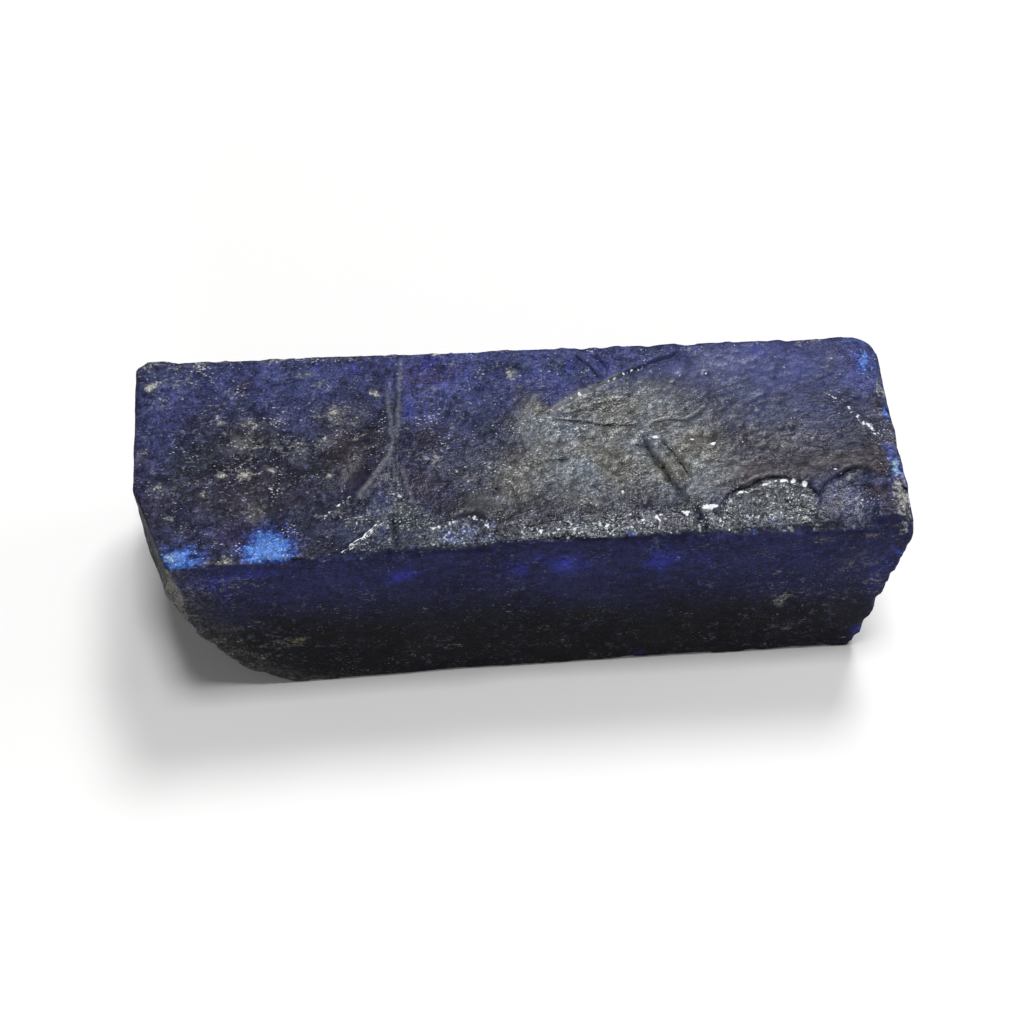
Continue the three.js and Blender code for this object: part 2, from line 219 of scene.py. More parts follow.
# Tinted areas of the top face: x, y, half sizes along x and y, strength
TOP_AREAS = {
    "violet": [
        (-22, 7, 7, 3.6, 0.55), (-13.5, 7, 5.5, 3.6, 0.6), (-25.5, 1.5, 2.4, 6, 0.35),
        (-4.3, 6.4, 4.2, 4.2, 0.95), (3.6, 6.6, 4.8, 3.4, 0.95), (13.5, 6.4, 6, 3, 0.95),
        (21.5, 6, 5, 3.4, 0.8), (18.5, 1.5, 6.5, 3.8, 0.3), (26, 4.8, 1.8, 3.6, 0.9),
        (-7.2, 3, 1.2, 2, 0.5), (23.5, -6.8, 2.8, 1.8, 0.8), (-22, -7, 4.5, 2.4, 0.25),
        (21, -1, 4.5, 3, 0.2), (-9.4, -6, 2, 3.4, 0.3), (-15.2, 2.2, 1.8, 1.8, 0.35),
        (-3.5, -1, 4.5, 4, 0.25), (-14, -7, 4, 2.2, 0.15),
    ],
    "royal": [
        (-14.2, 8.2, 0.7, 0.5, 0.7), (-11, 7.6, 1.4, 0.9, 0.6), (-5.6, 7.6, 0.9, 0.9, 0.8),
        (-3.2, 7, 1.2, 1, 0.5), (-7.5, 3.3, 0.5, 1, 0.9), (4.7, 6.6, 0.8, 0.9, 0.8),
        (7, 6.6, 0.5, 0.8, 0.7), (25.9, 5.2, 0.8, 1.1, 0.8), (18.6, 6.8, 0.7, 0.6, 0.5),
        (-16.5, 2.2, 0.6, 0.4, 0.6), (-9.7, -7, 0.6, 0.9, 0.6), (-8, -9, 0.8, 0.4, 0.8),
        (12.2, -7.4, 0.4, 0.9, 0.6), (26.6, -3.2, 0.5, 0.8, 0.7), (-24, 2, 1.2, 1.6, 0.3),
        (0.5, 7.8, 0.8, 0.5, 0.5),
    ],
    # Where the satin sheen lies: more clear coat, and a painted grey sheen in the colour
    "haze": [
        (5.5, -1.8, 5.6, 4.8, 1), (2.2, 2, 1.8, 2.2, 0.9), (9, 2.8, 4.6, 3, 0.8),
        (12.6, -3.2, 3.2, 3.6, 0.75), (-0.8, -3.8, 2.4, 3.2, 0.4), (-4.5, -2, 3.5, 3, 0.15),
        (17.5, 2, 5, 4, 0.2), (15, 6, 4, 2, 0.3), (-3.3, -5.3, 1.9, 1, 0.3), (20, -2, 4, 2.5, 0.25),
    ],
    "wax": [
        (16.5, -4.2, 1.7, 1, 1), (22.5, -3.9, 3.2, 0.8, 1), (18.5, 2, 7, 5.5, 0.8),
        (-3.2, -5.3, 1.9, 0.9, 1), (-11.2, -2.2, 1.3, 2, 1), (12.8, -5.2, 1.6, 0.9, 0.9),
        (20.6, -5, 0.6, 0.8, 1), (10.5, 5.2, 3, 1.2, 0.7), (19, 6, 7.5, 3, 0.6),
    ],
    "brown": [
        (16.5, -4.2, 1.7, 1, 1), (22.8, -3.9, 3, 0.8, 1), (13.2, -0.4, 1.1, 0.6, 1.2),
        (25.6, -3.6, 1.2, 1.2, 1.4), (18, -1.8, 4.5, 2.4, 0.8), (-11.2, -2.2, 1.3, 1.9, 0.4),
        (-3.3, -5.3, 1.9, 1.1, 0.8), (-6.2, 0.9, 1.4, 1.6, 0.7), (26.3, 0.9, 0.8, 1.5, 0.8),
        (-12, 0.5, 2.5, 2.5, 0.6), (-18.5, -3, 5, 2.6, 0.6), (-6.5, -3.5, 1.2, 1.6, 0.7),
        (22, -7.2, 0.7, 0.6, 0.9), (25, -6.6, 0.9, 0.9, 1.4), (-19.5, 6.5, 1, 1.6, 0.6),
        (0.5, 4.6, 1.4, 1.2, 0.5),
    ],
    "pale": [
        (-17, 0.5, 6, 5, 0.2), (-19, 1.4, 2.3, 1.2, 0.8), (-18.8, 3.2, 1, 0.5, 0.9),
        (-20.9, 3.5, 0.6, 0.4, 1.1), (-19.2, -1.5, 0.6, 0.6, 1.5), (-21, -1.6, 0.4, 0.35, 1.5),
        (-17.5, -1.4, 0.4, 0.3, 1.6), (-26, 6.5, 0.5, 0.5, 1.5), (-25.3, 5.2, 0.8, 0.6, 0.8),
        (-24, 7.4, 2.2, 1.2, 0.6), (-9.7, 5.3, 0.45, 0.4, 1.5), (-11.5, 1, 0.4, 0.3, 1.6),
        (-12.8, 3.4, 1.6, 1.2, 0.8), (-15, 0.6, 2.4, 0.9, 0.3), (-18.6, -5.4, 0.6, 1.3, 0.9),
        (-8.6, -5.1, 0.6, 0.45, 1.3), (-3.6, -3.3, 0.8, 0.5, 1.2), (-5.7, -1.3, 1, 0.6, 0.8),
        (0.3, 6.4, 0.4, 0.6, 1.5), (23.3, 5.2, 1.4, 1.2, 0.8), (-22.5, -3, 0.4, 0.3, 1.3),
        (-25.5, -2.2, 1, 0.6, 0.8), (25.6, -3, 0.6, 0.6, 1), (22.5, 7.4, 1, 0.4, 0.8),
        (-14.9, 7.4, 0.8, 0.5, 0.9), (-7, -3.8, 0.8, 0.8, 0.7), (-20.5, -9, 2, 0.45, 1.4),
        (-14.5, -9.2, 1, 0.35, 1.2), (-12.4, -6.4, 1.6, 0.8, 0.5), (-26.6, 0.8, 0.6, 1.2, 0.8),
        (-10, 0, 0.6, 0.5, 0.8), (-13.2, -2.3, 0.3, 0.25, 1.4), (15.8, 3.8, 1.6, 0.8, 0.5),
        (5.5, -2.4, 0.8, 0.5, 0.9), (7, -4.6, 2, 1.4, 0.5), (13, -0.9, 0.4, 0.2, 1.3),
    ],
    # Painted glow of light through thin edges, in bright blue patches
    "blue": [
        (-17.6, -8.2, 2, 1.9, 1.5), (-23.9, -8.5, 1.6, 1.5, 1.15), (-4.2, -8, 2.5, 1, 0.5),
        (7.3, -8.8, 0.5, 0.35, 0.6), (17.6, -8.3, 0.9, 0.6, 0.4), (15.9, -8.7, 0.8, 0.5, 0.35),
        (26.9, 0.5, 0.35, 0.9, 0.8), (26.7, -4.3, 0.35, 0.8, 0.7), (26.2, 5, 0.7, 1.3, 0.6),
        (25.4, 7.4, 1.1, 0.6, 0.4), (-9.9, -6.9, 0.4, 0.5, 0.5),
    ],
    "ice": [
        (-24.5, -8.3, 0.7, 1, 0.6), (-17.9, -8.7, 1, 0.8, 0.3), (26.7, -4.3, 0.4, 0.8, 0.8),
        (-4, -8.3, 1.6, 0.6, 0.5),
    ],
    "crust": [
        (26.7, -7.2, 0.7, 2.2, 1.25), (-26.6, 8.9, 0.8, 0.5, 0.9), (-22.7, 9.1, 0.5, 0.4, 0.9),
        (-4.8, 8.5, 1, 0.3, 0.9), (-8.2, 8.6, 0.5, 0.3, 0.8), (-16.6, 9, 0.8, 0.3, 0.7),
        (19.6, -7.8, 0.3, 0.3, 1.1), (-11.7, -9.2, 0.45, 0.25, 1.1), (27, 3, 0.3, 1, 0.8),
        (5.2, -7.7, 0.4, 0.25, 0.9), (-20.6, -9.2, 1, 0.2, 0.8), (12.6, 8.2, 1, 0.3, 0.8),
        (18.8, 7.7, 0.6, 0.3, 0.6),
    ],
    "ochre": [
        (8.6, -6.2, 0.35, 0.25, 1), (19.6, -7.8, 0.3, 0.3, 0.9), (-11.7, -9.2, 0.5, 0.2, 1),
        (24, -8.6, 1.6, 0.25, 0.7), (-21.4, -1.8, 0.5, 0.3, 0.5), (-9.9, -8.9, 0.3, 0.2, 0.9),
        (-18.9, 1.2, 0.8, 0.4, 0.4), (5.2, -7.7, 0.3, 0.2, 0.8),
    ],
    "grain": [
        (17.3, -7, 3.6, 2.4, 1), (23.6, -6.8, 2.8, 2.2, 0.6), (5.4, -8.5, 7, 1.5, 0.9),
        (13, -8, 1.6, 1.4, 0.9), (-4.6, -8.1, 3.2, 1.7, 0.6), (-9.2, -6.6, 2.6, 3, 0.57),
        (-8.8, -2.8, 0.9, 2.4, 0.3),
    ],
    # Painted glints: white beads and spots
    "painted_glint": [
        (13.1, -6.95, 0.75, 0.26, 1.2), (11.3, -7.35, 0.4, 0.2, 1.2), (9.95, -0.5, 0.26, 0.16, 1.5),
        (14, -1.35, 0.25, 0.14, 1.3), (15.3, -5.75, 0.3, 0.2, 1.4), (18.5, -5.05, 0.26, 0.16, 1.3),
        (19.2, -5.2, 0.36, 0.18, 1.4), (20, -5.5, 0.3, 0.24, 1.4), (16.1, -1.5, 0.12, 0.14, 1.3),
        (7.1, -5.2, 0.14, 0.2, 1.2), (22.3, -4.4, 0.14, 0.14, 1.3), (12.6, -0.9, 0.22, 0.1, 1.1),
        (5, 3.85, 0.16, 0.12, 1.2), (14.4, 5.1, 0.12, 0.14, 1.2), (12.5, 5.15, 0.14, 0.1, 1),
    ],
}
# Round pits in the top face: x, y, radius, depth
PITS = [
    (12.5, 5, 0.3, 0.14), (14.35, 5, 0.24, 0.12), (12.9, -0.5, 0.45, 0.12), (13.8, -0.6, 0.4, 0.12),
    (8.6, -6.3, 0.32, 0.16), (1.2, -4.9, 0.25, 0.12), (20.05, -7.9, 0.32, 0.25), (16.1, -1.3, 0.22, 0.1),
    (7.1, -4.9, 0.2, 0.1), (22.3, -4.25, 0.2, 0.1), (10.5, 5.5, 0.2, 0.1), (15.5, 2.2, 0.2, 0.1),
    (24.3, -4.6, 0.3, 0.1),
]

# Tinted areas of the front face: x, z, half sizes along x and z, strength
FRONT_AREAS = {
    "royal": [
        (2.9, 12.9, 1.4, 1.1, 1.2), (-8.9, 13, 1.2, 0.9, 1.2), (9.4, 12.8, 1.2, 1.5, 1.2),
        (-0.7, 12.5, 0.9, 1, 0.9), (25.2, 9.5, 0.9, 4, 0.5), (-22.5, 13.8, 2, 1.2, 0.9),
        (-19, 14.4, 2.2, 0.9, 0.8), (0.9, 13.8, 0.8, 0.5, 0.6), (20, 12.5, 3, 1.5, 0.4),
        (8.6, 0.8, 0.6, 0.4, 0.8), (24.6, 2, 0.8, 0.8, 0.8), (12.5, 13, 1.5, 1, 0.5),
        (-12.5, 12.8, 2, 1, 0.3), (-21, 12, 1, 0.8, 0.5),
    ],
    "ochre": [
        (-16.4, 5.6, 0.7, 0.5, 1.2), (-14.4, 9.8, 0.5, 0.35, 0.9), (24.2, 14.5, 1.2, 0.25, 1),
        (20.8, 14.3, 1, 0.2, 0.8), (-17.6, 6.2, 0.6, 0.4, 0.5), (-19, 9.6, 0.5, 0.4, 0.5),
    ],
    "crust": [(26.6, 14.6, 0.5, 0.9, 0.9), (26.2, 1, 0.6, 0.5, 0.7)],
    # Painted glow of light through thin edges, near the right end
    "blue": [(26.4, 12.2, 0.4, 0.8, 0.6), (26, 1.6, 0.4, 0.5, 0.6)],
    "pale": [
        (23.8, 10.9, 1.4, 1.4, 0.9), (25, 8.4, 0.7, 1.6, 0.7), (18.6, 6.7, 0.8, 0.7, 1),
        (18, 10.3, 0.4, 0.4, 1.2), (-16.4, 5.6, 0.5, 0.4, 1.5), (-14.4, 9.8, 0.6, 0.4, 1.3),
        (-20, 5.5, 3.5, 3.5, 0.7), (20.5, 7, 5, 5, 0.6), (-21.5, 13.4, 3.5, 1.6, 1),
        (20.8, 14.2, 1.3, 0.3, 1.3), (24.2, 14.45, 0.8, 0.25, 1.6), (-17.5, 10, 2, 1.5, 0.6),
        (-8, 3, 5, 2, 0.35), (-11, 10.6, 0.8, 0.6, 0.9), (-1, 9.8, 0.5, 0.6, 0.9),
        (9.3, 9.2, 0.6, 0.5, 0.9), (-5, 3.6, 0.5, 0.4, 1), (12.8, 13.8, 0.6, 0.6, 0.7),
        (17.5, 0.8, 2.5, 0.5, 0.6),
    ],
}
# Left border of the front face, x and z, the width of the strip of broken ground along it, and how far
# the broken left end stands out below its upper edge
BREAK_EDGE = [(-24.7, 15.8), (-24, 12.5), (-22.8, 8), (-21.4, 5), (-19.5, 2), (-17.4, 0), (-12, -1)]
BREAK_STRIP = 2.4
BREAK_BULGE = 0.7
# Height of the dark, ragged lip along the front face's top edge
LIP_HEIGHT = 0.9

# Blue patches and dents on the sides that the photograph doesn't show, and small pits in the top face.
# The depth of a dent is a share of its radius
SIDE_SPOTS = 26
SIDE_SPOT_SIZE = (0.5, 1.7)
DENTS = 70
DENT_RADIUS = (0.8, 2.8)
DENT_DEPTH = (0.05, 0.12)
SMALL_PITS = 420
SMALL_PIT_RADIUS = (0.09, 0.26)
SMALL_PIT_DEPTH = (0.02, 0.08)

# How far a line's painted light is followed, in half widths
FAR = 6.0
# Gap between the parts of the texture map
CHART_GAP = 1.0
# How far the worn back left corner is filled out
CORNER_FILL = 0.45

# Patterns that make the surface uneven: their height, the size over which they change, the number that
# sets their randomness, and how many layers they have
Pattern = namedtuple("Pattern", "height size seed layers")
SWELL = Pattern(0.05, 5.0, 20, 3)
RIPPLE = Pattern(0.014, (1.0, 0.5, 0.5), 30, 2)
LUMPS = Pattern(0.013, 0.9, 35, 2)
LONG_CHIPS = Pattern(0.22, 2.6, 40, 2)
SHORT_CHIPS = Pattern(0.22, 0.8, 42, 2)
RUBBLE = Pattern(0.05, 0.8, 48, 3)
SIDE_LUMPS = Pattern(0.03, 1.2, 52, 3)
CHIP_LEVEL = 0.1
GRIT, GRAIN_GRIT, HAZE_GRIT = 0.002, 0.024, 0.003

# Soft streaks on the right half run this way across the top face
STREAK_ANGLE = math.radians(-28)
STREAK_SIZE = (4.0, 0.45, 4.0)
STREAK_HEIGHT = 0.01
STREAK_TURN = np.array([
    (math.cos(STREAK_ANGLE), -math.sin(STREAK_ANGLE), 0),
    (math.sin(STREAK_ANGLE), math.cos(STREAK_ANGLE), 0),
    (0, 0, 1),
])


def lattice(cells, seed):
    """A repeatable random value from -1 to 1 for every whole-numbered cell."""
    weights = np.array([374761393, 668265263, 1440662683], np.uint64)
    mixed = (cells.astype(np.uint64) * weights).sum(axis=1) + np.uint64(seed * 974711)
    mixed = (mixed ^ (mixed >> np.uint64(13))) * np.uint64(1274126177)
    mixed = mixed ^ (mixed >> np.uint64(16))
    return (mixed & np.uint64(0xFFFF)).astype(float) / 32767.5 - 1


def noise(places, size, seed):
    """Smooth random values from -1 to 1 that change over about one size, in mm, for all axes or each."""
    scaled = places / np.array(size)
    cells = np.floor(scaled).astype(np.int64)
    inside = scaled - cells
    inside = inside * inside * (3 - 2 * inside)
    total = np.zeros(len(places))
    for corner in itertools.product((0, 1), repeat=3):
        weight = np.where(corner, inside, 1 - inside).prod(axis=1)
        total += weight * lattice(cells + corner, seed)
    return total


def fractal(places, size, seed, octaves):
    """Noise with finer and weaker layers added to it."""
    layers = (0.5 ** k * noise(places, np.array(size) * 0.5 ** k, seed + k) for k in range(octaves))
    return sum(layers)


def smooth(low, high, values):
    """0 below low, 1 above high and an even curve between."""
    share = np.clip((values - low) / (high - low), 0, 1)
    return share * share * (3 - 2 * share)


def to_line(spots, line):
    """Distance from each spot to a line of points, positive on its left, and the share along the line."""
    points = np.array(line)
    lengths = np.linalg.norm(np.diff(points, axis=0), axis=1)
    before = np.concatenate([[0], np.cumsum(lengths)])
    nearest = np.full(len(spots), np.inf)
    signed = np.zeros(len(spots))
    share = np.zeros(len(spots))
    for index, length in enumerate(lengths):
        run = (points[index + 1] - points[index]) / length
        offset = spots - points[index]
        along = np.clip(offset @ run, 0, length)
        away = np.linalg.norm(offset - along[:, None] * run, axis=1)
        closer = away < nearest
        left = run[0] * offset[:, 1] - run[1] * offset[:, 0]
        nearest = np.where(closer, away, nearest)
        signed = np.where(closer, np.copysign(away, left), signed)
        share = np.where(closer, (before[index] + along) / before[-1], share)
    return signed, share


def areas(spots, table):
    """The sum of soft oval areas."""
    total = np.zeros(len(spots))
    for x, y, half_x, half_y, strength in table:
        squared = ((spots[:, 0] - x) / half_x) ** 2 + ((spots[:, 1] - y) / half_y) ** 2
        total += strength * np.exp(-1.1 * squared)
    return total


def read_vectors(mesh, source):
    """Vertex places, in mm, or normals as rows of three."""
    values = np.zeros(len(mesh.vertices) * 3, np.float32)
    if source == "co":
        mesh.vertices.foreach_get("co", values)
        values /= MM
    else:
        mesh.vertex_normals.foreach_get("vector", values)
    return values.reshape(-1, 3).astype(float)


def write_places(mesh, places):
    """Moves the vertices to these places, in mm."""
    mesh.vertices.foreach_set("co", (places * MM).astype(np.float32).ravel())
    mesh.update()


def add_object(name, data):
    """A new object in the scene."""
    piece = bpy.data.objects.new(name, data)
    bpy.context.scene.collection.objects.link(piece)
    return piece


def evaluated(piece):
    """A new mesh with the piece's modifiers applied."""
    piece.data.update()
    graph = bpy.context.evaluated_depsgraph_get()
    return bpy.data.meshes.new_from_object(piece.evaluated_get(graph))


def swap_mesh(piece, mesh):
    """Gives the piece a new mesh and clears its modifiers."""
    old = piece.data
    piece.modifiers.clear()
    piece.data = mesh
    bpy.data.meshes.remove(old)


def refine(piece):
    """Turns the plain solid into one even, dense skin with softened edges."""
    remesh = piece.modifiers.new("refine", "REMESH")
    remesh.mode = "VOXEL"
    remesh.voxel_size = VOXEL * MM
    rounding = piece.modifiers.new("round", "SMOOTH")
    rounding.iterations = ROUNDING
    swap_mesh(piece, evaluated(piece))


def thin_out(piece, worn):
    """Drops triangles from the sides and keeps the detailed top face as it is."""
    plain = piece.vertex_groups.new(name="plain")
    for vertices, weight in ((worn < 0.5, 1), (worn >= 0.5, 0)):
        plain.add(np.nonzero(vertices)[0].tolist(), weight, "REPLACE")
    decimate = piece.modifiers.new("thin", "DECIMATE")
    decimate.ratio = TRIANGLES / (2 * len(piece.data.polygons))
    decimate.use_collapse_triangulate = True
    decimate.vertex_group = plain.name
    swap_mesh(piece, evaluated(piece))
    piece.vertex_groups.clear()


def wander(places, reach, size):
    """A small sideways shift that makes lines and outlines ragged."""
    return reach * np.stack([fractal(places, size, SEED + k, 2) for k in (1, 4)], axis=1)


def faces(places, normals):
    """How far each vertex belongs to the worn top, the sawn front and the other sides."""
    x, y, z = places.T
    interior = smooth(1.2, 1.8, np.min([x - INNER_LEFT, RIGHT - x, INNER_BACK - y, y - FRONT], axis=0))
    upward = smooth(0.35, 0.75, normals[:, 2])
    top = smooth(TOP - 1.6, TOP - 1, z) * np.maximum(upward, interior)
    front = smooth(0.4, 0.8, -normals[:, 1]) * (1 - top)
    return top, front, np.clip(1 - top - front, 0, 1)


def painted_marks(plan, kind):
    """For the nearest line with this kind of painted light: the place across it, in half widths, and its
    strength.
    """
    across = np.full(len(plan), FAR)
    strength = np.zeros(len(plan))
    for line in LINES.values():
        if line.stain == kind:
            signed, share = to_line(plan, line.points)
            scaled = signed / line.stain_width
            ends = smooth(0, 0.15, share) * smooth(0, 0.15, 1 - share)
            nearer = np.abs(scaled) < np.abs(across)
            here = line.strength * ends * smooth(FAR, 0.6 * FAR, np.abs(scaled))
            across = np.where(nearer, scaled, across)
            strength = np.where(nearer, here, strength)
    return across, strength


def side_spots(places, side):
    """Blue patches scattered over the sides that the photograph doesn't show."""
    random = np.random.default_rng(SEED + 60)
    total = np.zeros(len(places))
    for _ in range(SIDE_SPOTS):
        centre = LOW + (HIGH - LOW) * random.random(3)
        size = random.uniform(*SIDE_SPOT_SIZE)
        away = np.linalg.norm((places - centre) / (1.6, 3, 1), axis=1)
        total += random.uniform(0.5, 1) * np.exp(-(away / size) ** 2)
    return total * side


def small_pits(plan, share):
    """Shallow pits scattered over the right two thirds of the top face."""
    random = np.random.default_rng(SEED + 70)
    depth = np.zeros(len(plan))
    for _ in range(SMALL_PITS):
        centre = random.uniform((-6, FRONT + 3), (RIGHT - 1, BACK - 2))
        radius = random.uniform(*SMALL_PIT_RADIUS)
        squared = ((plan - centre) ** 2).sum(axis=1) / radius ** 2
        depth += random.uniform(*SMALL_PIT_DEPTH) * np.exp(-squared)
    return depth * share


def tinted(places, plan, loose, top, front):
    """Tinted areas of the top and front faces. The painted glints keep their outlines; the others are
    ragged.
    """
    mask = {name: top * areas(places[:, :2] + loose, table) for name, table in TOP_AREAS.items()}
    mask["painted_glint"] = top * areas(plan, TOP_AREAS["painted_glint"])
    for name, table in FRONT_AREAS.items():
        mask[name] += front * areas(places[:, [0, 2]] + loose, table)
    return mask


def left_break(places, normals, strip, top, front, side):
    """Rough ground on the broken left end and the front face beside it, and the facet at their corner."""
    x, y, z = places.T
    ragged = smooth(-0.5, 0.7, fractal(places, 1.5, SEED + 16, 3))
    rough = side * smooth(0.15, 0.5, -normals[:, 0]) * smooth(-14, -18, x)
    rough *= 0.3 * ragged + 0.6 * smooth(0, -6, y)
    rough += 0.5 * front * smooth(BREAK_STRIP, 0, strip)
    facet = smooth(0.3, 0.6, -normals[:, 0]) * smooth(0.2, 0.5, -normals[:, 1]) * (1 - top)
    return np.maximum(rough, 0.9 * facet), facet


def dress_right_end(places, mottle, mask):
    """Adds pale flecks, painted blue glow and crust at the right end, and takes all crust off the lower
    sides.
    """
    x, y, z = places.T
    end = smooth(RIGHT - 2.4, RIGHT - 0.3, x + 0.6 * mottle)
    patches = smooth(0, 0.6, fractal(places, 1.4, SEED + 14, 2))
    mask["pale"] += 0.35 * end
    mask["blue"] += 0.4 * end * smooth(-0.1, 0.5, mottle) * smooth(8, 13, z)
    mask["crust"] += 0.75 * end * patches * smooth(2, -4, y)
    mask["crust"] *= smooth(9, 14, z)


def broken_grain(places, grain, sunk):
    """The glittering ground: patchy, only in the scars on the right and ending before the right end."""
    x = places[:, 0]
    patchy = 0.75 + 0.35 * fractal(places, 1.6, SEED + 12, 2)
    within = np.maximum(sunk, smooth(13.6, 12.6, x))
    return within * np.clip(grain * patchy, 0, 1) * smooth(25.4, 23.8, x)


def lip(places, front):
    """The dark, ragged lip along the front face's top edge."""
    x, y, z = places.T
    below = TOP - z + 0.4 * fractal(places, (1.4, 1.4, 0.5), SEED + 18, 3)
    return front * smooth(LIP_HEIGHT, 0.2 * LIP_HEIGHT, below) * smooth(-13, -9, x)


def masks(places, normals):
    """Where each finish lies on the stone, as values from 0 to about 1 for every vertex."""
    x, y, z = places.T
    top, front, side = faces(places, normals)
    plan = places[:, :2] + wander(places, 0.1, 0.7)
    loose = wander(places, 0.35, 1.6)
    mottle = fractal(places, 3, SEED + 10, 3)
    mask = tinted(places, plan, loose, top, front)
    mask.update(worn=top, side=side, lip=lip(places, front))
    mask["streaky"] = top * smooth(4, 12, x) * smooth(6.5, 4, y)
    waxy = np.clip(mask["wax"], 0, 1)
    mask["pit"] = small_pits(plan, top * (1 - 0.5 * waxy)) / SMALL_PIT_DEPTH[1]
    strip = np.abs(to_line(places[:, [0, 2]] + loose, BREAK_EDGE)[0]) + 0.5 * mottle
    mask["broken"], facet = left_break(places, normals, strip, top, front, side)
    sunk = smooth(0.02, 0.07, TOP - z) * top
    mask["grain"] = broken_grain(places, mask["grain"], sunk)
    # The sides turn navy towards the top: painted glow of light passing through from the lit top, over
    # the stone's dark blue; they also turn a little bluer towards the right end
    upper = smooth(4.5, 14, z + 0.9 * mottle + 0.06 * x)
    mask["violet"] += (1 - top) * (upper + 0.12 * smooth(12, 22, x))
    inside_step = smooth(-0.2, 0.06, -to_line(plan, STEP_RIM)[0])
    mask["haze"] *= 1 - smooth(0.8, 3.4, plan[:, 0]) * (1 - inside_step)
    back_edge = top * smooth(BACK - 1.6, BACK - 0.4, y)
    mask["pale"] += 1.2 * facet + 0.6 * sunk * smooth(1, 2.5, y) + 0.25 * side + 0.6 * back_edge
    dress_right_end(places, mottle, mask)
    mask["royal"] += side_spots(places, side)
    for kind in ("painted_glint", "dark", "pale"):
        mask[kind + "_across"], strength = painted_marks(plan, kind)
        mask[kind + "_line"] = top * strength
    return mask


def relief(places, mask):
    """Heights of the lines, the step and the pits in the top face."""
    plan = places[:, :2] + wander(places, 0.1, 0.7)
    lift = -SMALL_PIT_DEPTH[1] * mask["pit"] * (1 - mask["grain"])
    for line in LINES.values():
        signed, share = to_line(plan, line.points)
        ends = smooth(0, 0.12, share) * smooth(0, 0.12, 1 - share)
        lift += line.height * ends * np.exp(-(signed / line.half_width) ** 2)
    signed, share = to_line(plan, STEP_RIM)
    below = smooth(-0.08, 0.1, -signed) * np.exp(-np.abs(signed) / STEP_FADE)
    lift -= STEP_DROP * below * smooth(-0.02, 0.1, share) * smooth(-0.02, 0.1, 1 - share)
    for x, y, radius, depth in PITS:
        lift -= depth * np.exp(-((plan[:, 0] - x) ** 2 + (plan[:, 1] - y) ** 2) / radius ** 2)
    return lift * mask["worn"]


def settle(places, normals):
    """Heights to add where the flake scars are worn: they lose some or most of their depth."""
    x, y, z = places.T
    drop = np.where(TOP - z < 1, TOP - z, 0) * smooth(0.15, 0.4, normals[:, 2])
    share = 0.4 + 0.55 * smooth(-1, -2, x) + 0.6 * smooth(23.5, 25, x)
    inner = smooth(0.3, 0.7, np.minimum(RIGHT - x, y - FRONT))
    return drop * np.clip(share, 0, 1) * inner * smooth(-2.5, -4, y)


def dents(places, side):
    """Shallow bowls where flakes have come off the sides that the photograph doesn't show."""
    random = np.random.default_rng(SEED + 80)
    depth = np.zeros(len(places))
    for index in random.choice(np.nonzero(side > 0.9)[0], DENTS):
        radius = random.uniform(*DENT_RADIUS)
        squared = ((places - places[index]) ** 2).sum(axis=1) / radius ** 2
        bowl = radius * random.uniform(*DENT_DEPTH) * np.clip(1 - squared, 0, 1)
        depth = np.maximum(depth, bowl)
    return depth * side


def heights(places, pattern):
    """The heights of one pattern."""
    return pattern.height * fractal(places, pattern.size, SEED + pattern.seed, pattern.layers)


def chips(places, pattern):
    """The depths of chips: the parts of a pattern that rise above a level."""
    return np.clip(heights(places, pattern) - CHIP_LEVEL * pattern.height, 0, pattern.height)


def roughness(places, normals, mask):
    """How far each vertex is pushed out: the whole surface is uneven and the edges are chipped."""
    random = np.random.default_rng(SEED)
    x = places[:, 0]
    edge = 1 - smooth(0.8, 0.97, np.abs(normals).max(axis=1))
    wax = np.clip(mask["wax"], 0, 1)
    push = heights(places, SWELL)
    push += heights(places, RIPPLE) * (1 - 0.7 * wax)
    push += heights(places, LUMPS) * mask["worn"] * smooth(-3, 1, x)
    push += heights(places, RUBBLE) * mask["broken"]
    push += heights(places, SIDE_LUMPS) * mask["side"]
    push -= edge * (chips(places, LONG_CHIPS) + chips(places, SHORT_CHIPS))
    streaks = STREAK_HEIGHT * noise(places @ STREAK_TURN, STREAK_SIZE, SEED + 45)
    push += streaks * smooth(4, 12, x) * mask["worn"] * (1 - mask["grain"])
    push -= dents(places, mask["side"])
    patchy = 0.65 + 0.5 * noise(places, 0.7, SEED + 50)
    grit = GRIT + patchy * (GRAIN_GRIT * mask["grain"] + HAZE_GRIT * mask["haze"])
    return push + random.normal(0, 1, len(places)) * grit


def bulge(places, normals):
    """How far the broken left end stands out below its upper edge, mostly towards the front."""
    x, y, z = places.T
    level = smooth(13.2, 10, z) * smooth(0.5, 3.5, z)
    leftward = smooth(0.15, 0.5, -normals[:, 0])
    return BREAK_BULGE * level * leftward * smooth(6, -4, y) * smooth(-10, -15, x)


def carve(places, normals, mask):
    """The stone's worn shape, kept inside the plain solid's box."""
    moved = places + normals * roughness(places, normals, mask)[:, None]
    moved[:, 0] -= bulge(places, normals)
    moved[:, 2] += relief(places, mask)
    moved[:, 1] += CORNER_FILL * smooth(-24, -26.6, places[:, 0]) * smooth(5, 8.4, places[:, 1])
    return np.clip(moved, LOW, HIGH)


def store(mesh, mask):
    """Keeps every mask on the mesh for the material to read."""
    for name, values in mask.items():
        layer = mesh.attributes.new(name, "FLOAT", "POINT")
        layer.data.foreach_set("value", values.astype(np.float32))


def on_faces(mesh, name):
    """A mask's mean on every triangle."""
    values = np.zeros(len(mesh.vertices), np.float32)
    mesh.attributes[name].data.foreach_get("value", values)
    return values[triangles(mesh)].mean(axis=1)


def triangles(mesh):
    """The three vertices of every triangle."""
    corners = np.zeros(len(mesh.polygons) * 3, np.int32)
    mesh.polygons.foreach_get("vertices", corners)
    return corners.reshape(-1, 3)


def shade(mesh):
    """Broken ground keeps its flat facets so that they glint; the rest is shaded smooth."""
    mesh.polygons.foreach_set("use_smooth", on_faces(mesh, "grain") < 0.4)


